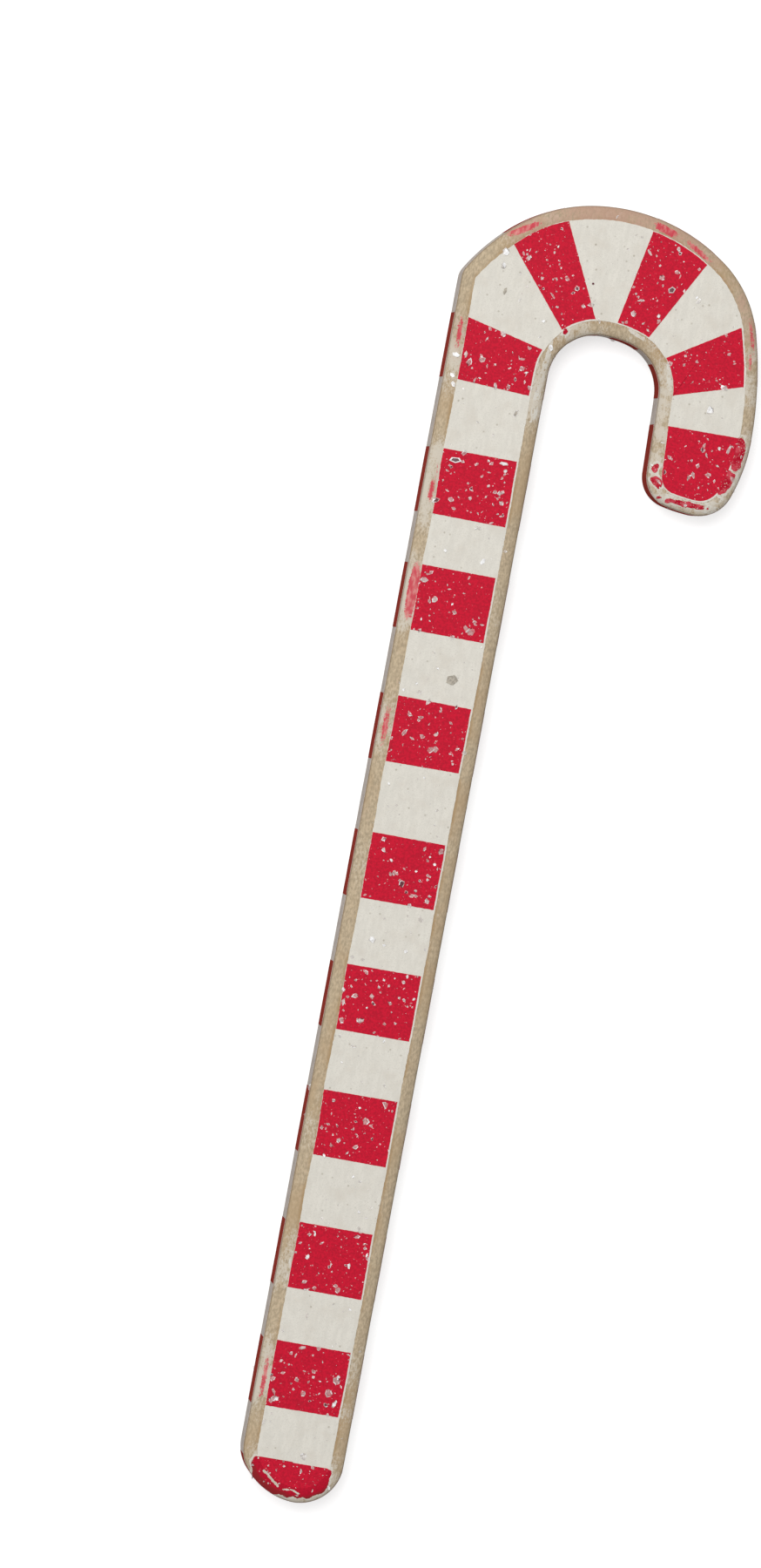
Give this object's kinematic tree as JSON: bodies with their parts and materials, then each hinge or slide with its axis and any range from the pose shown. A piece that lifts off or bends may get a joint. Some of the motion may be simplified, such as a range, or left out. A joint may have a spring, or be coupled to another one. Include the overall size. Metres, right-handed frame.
{
  "type": "wooden candy cane ornament",
  "caption": "Flat wooden candy cane with a short open hook, red and cream painted stripes, worn sanded edges and a sprinkle of mica glitter.",
  "frame": {"origin": "middle of the outline's box, on the surface that the cane lies on", "axes": "+Y up the shaft to the top of the crook, +X across from the shaft to the hook, +Z out of the shown face"},
  "size_m": [0.0478, 0.2002, 0.0064],
  "materials": {
    "wood": "bare sanded, with traces of primer and paint",
    "cream_paint": "satin, lightly scuffed",
    "red_paint": "satin, lightly scuffed",
    "mica": "thin glinting flakes"
  },
  "bodies": {
    "root": {"cane": "wood"}
  },
  "joints": []
}
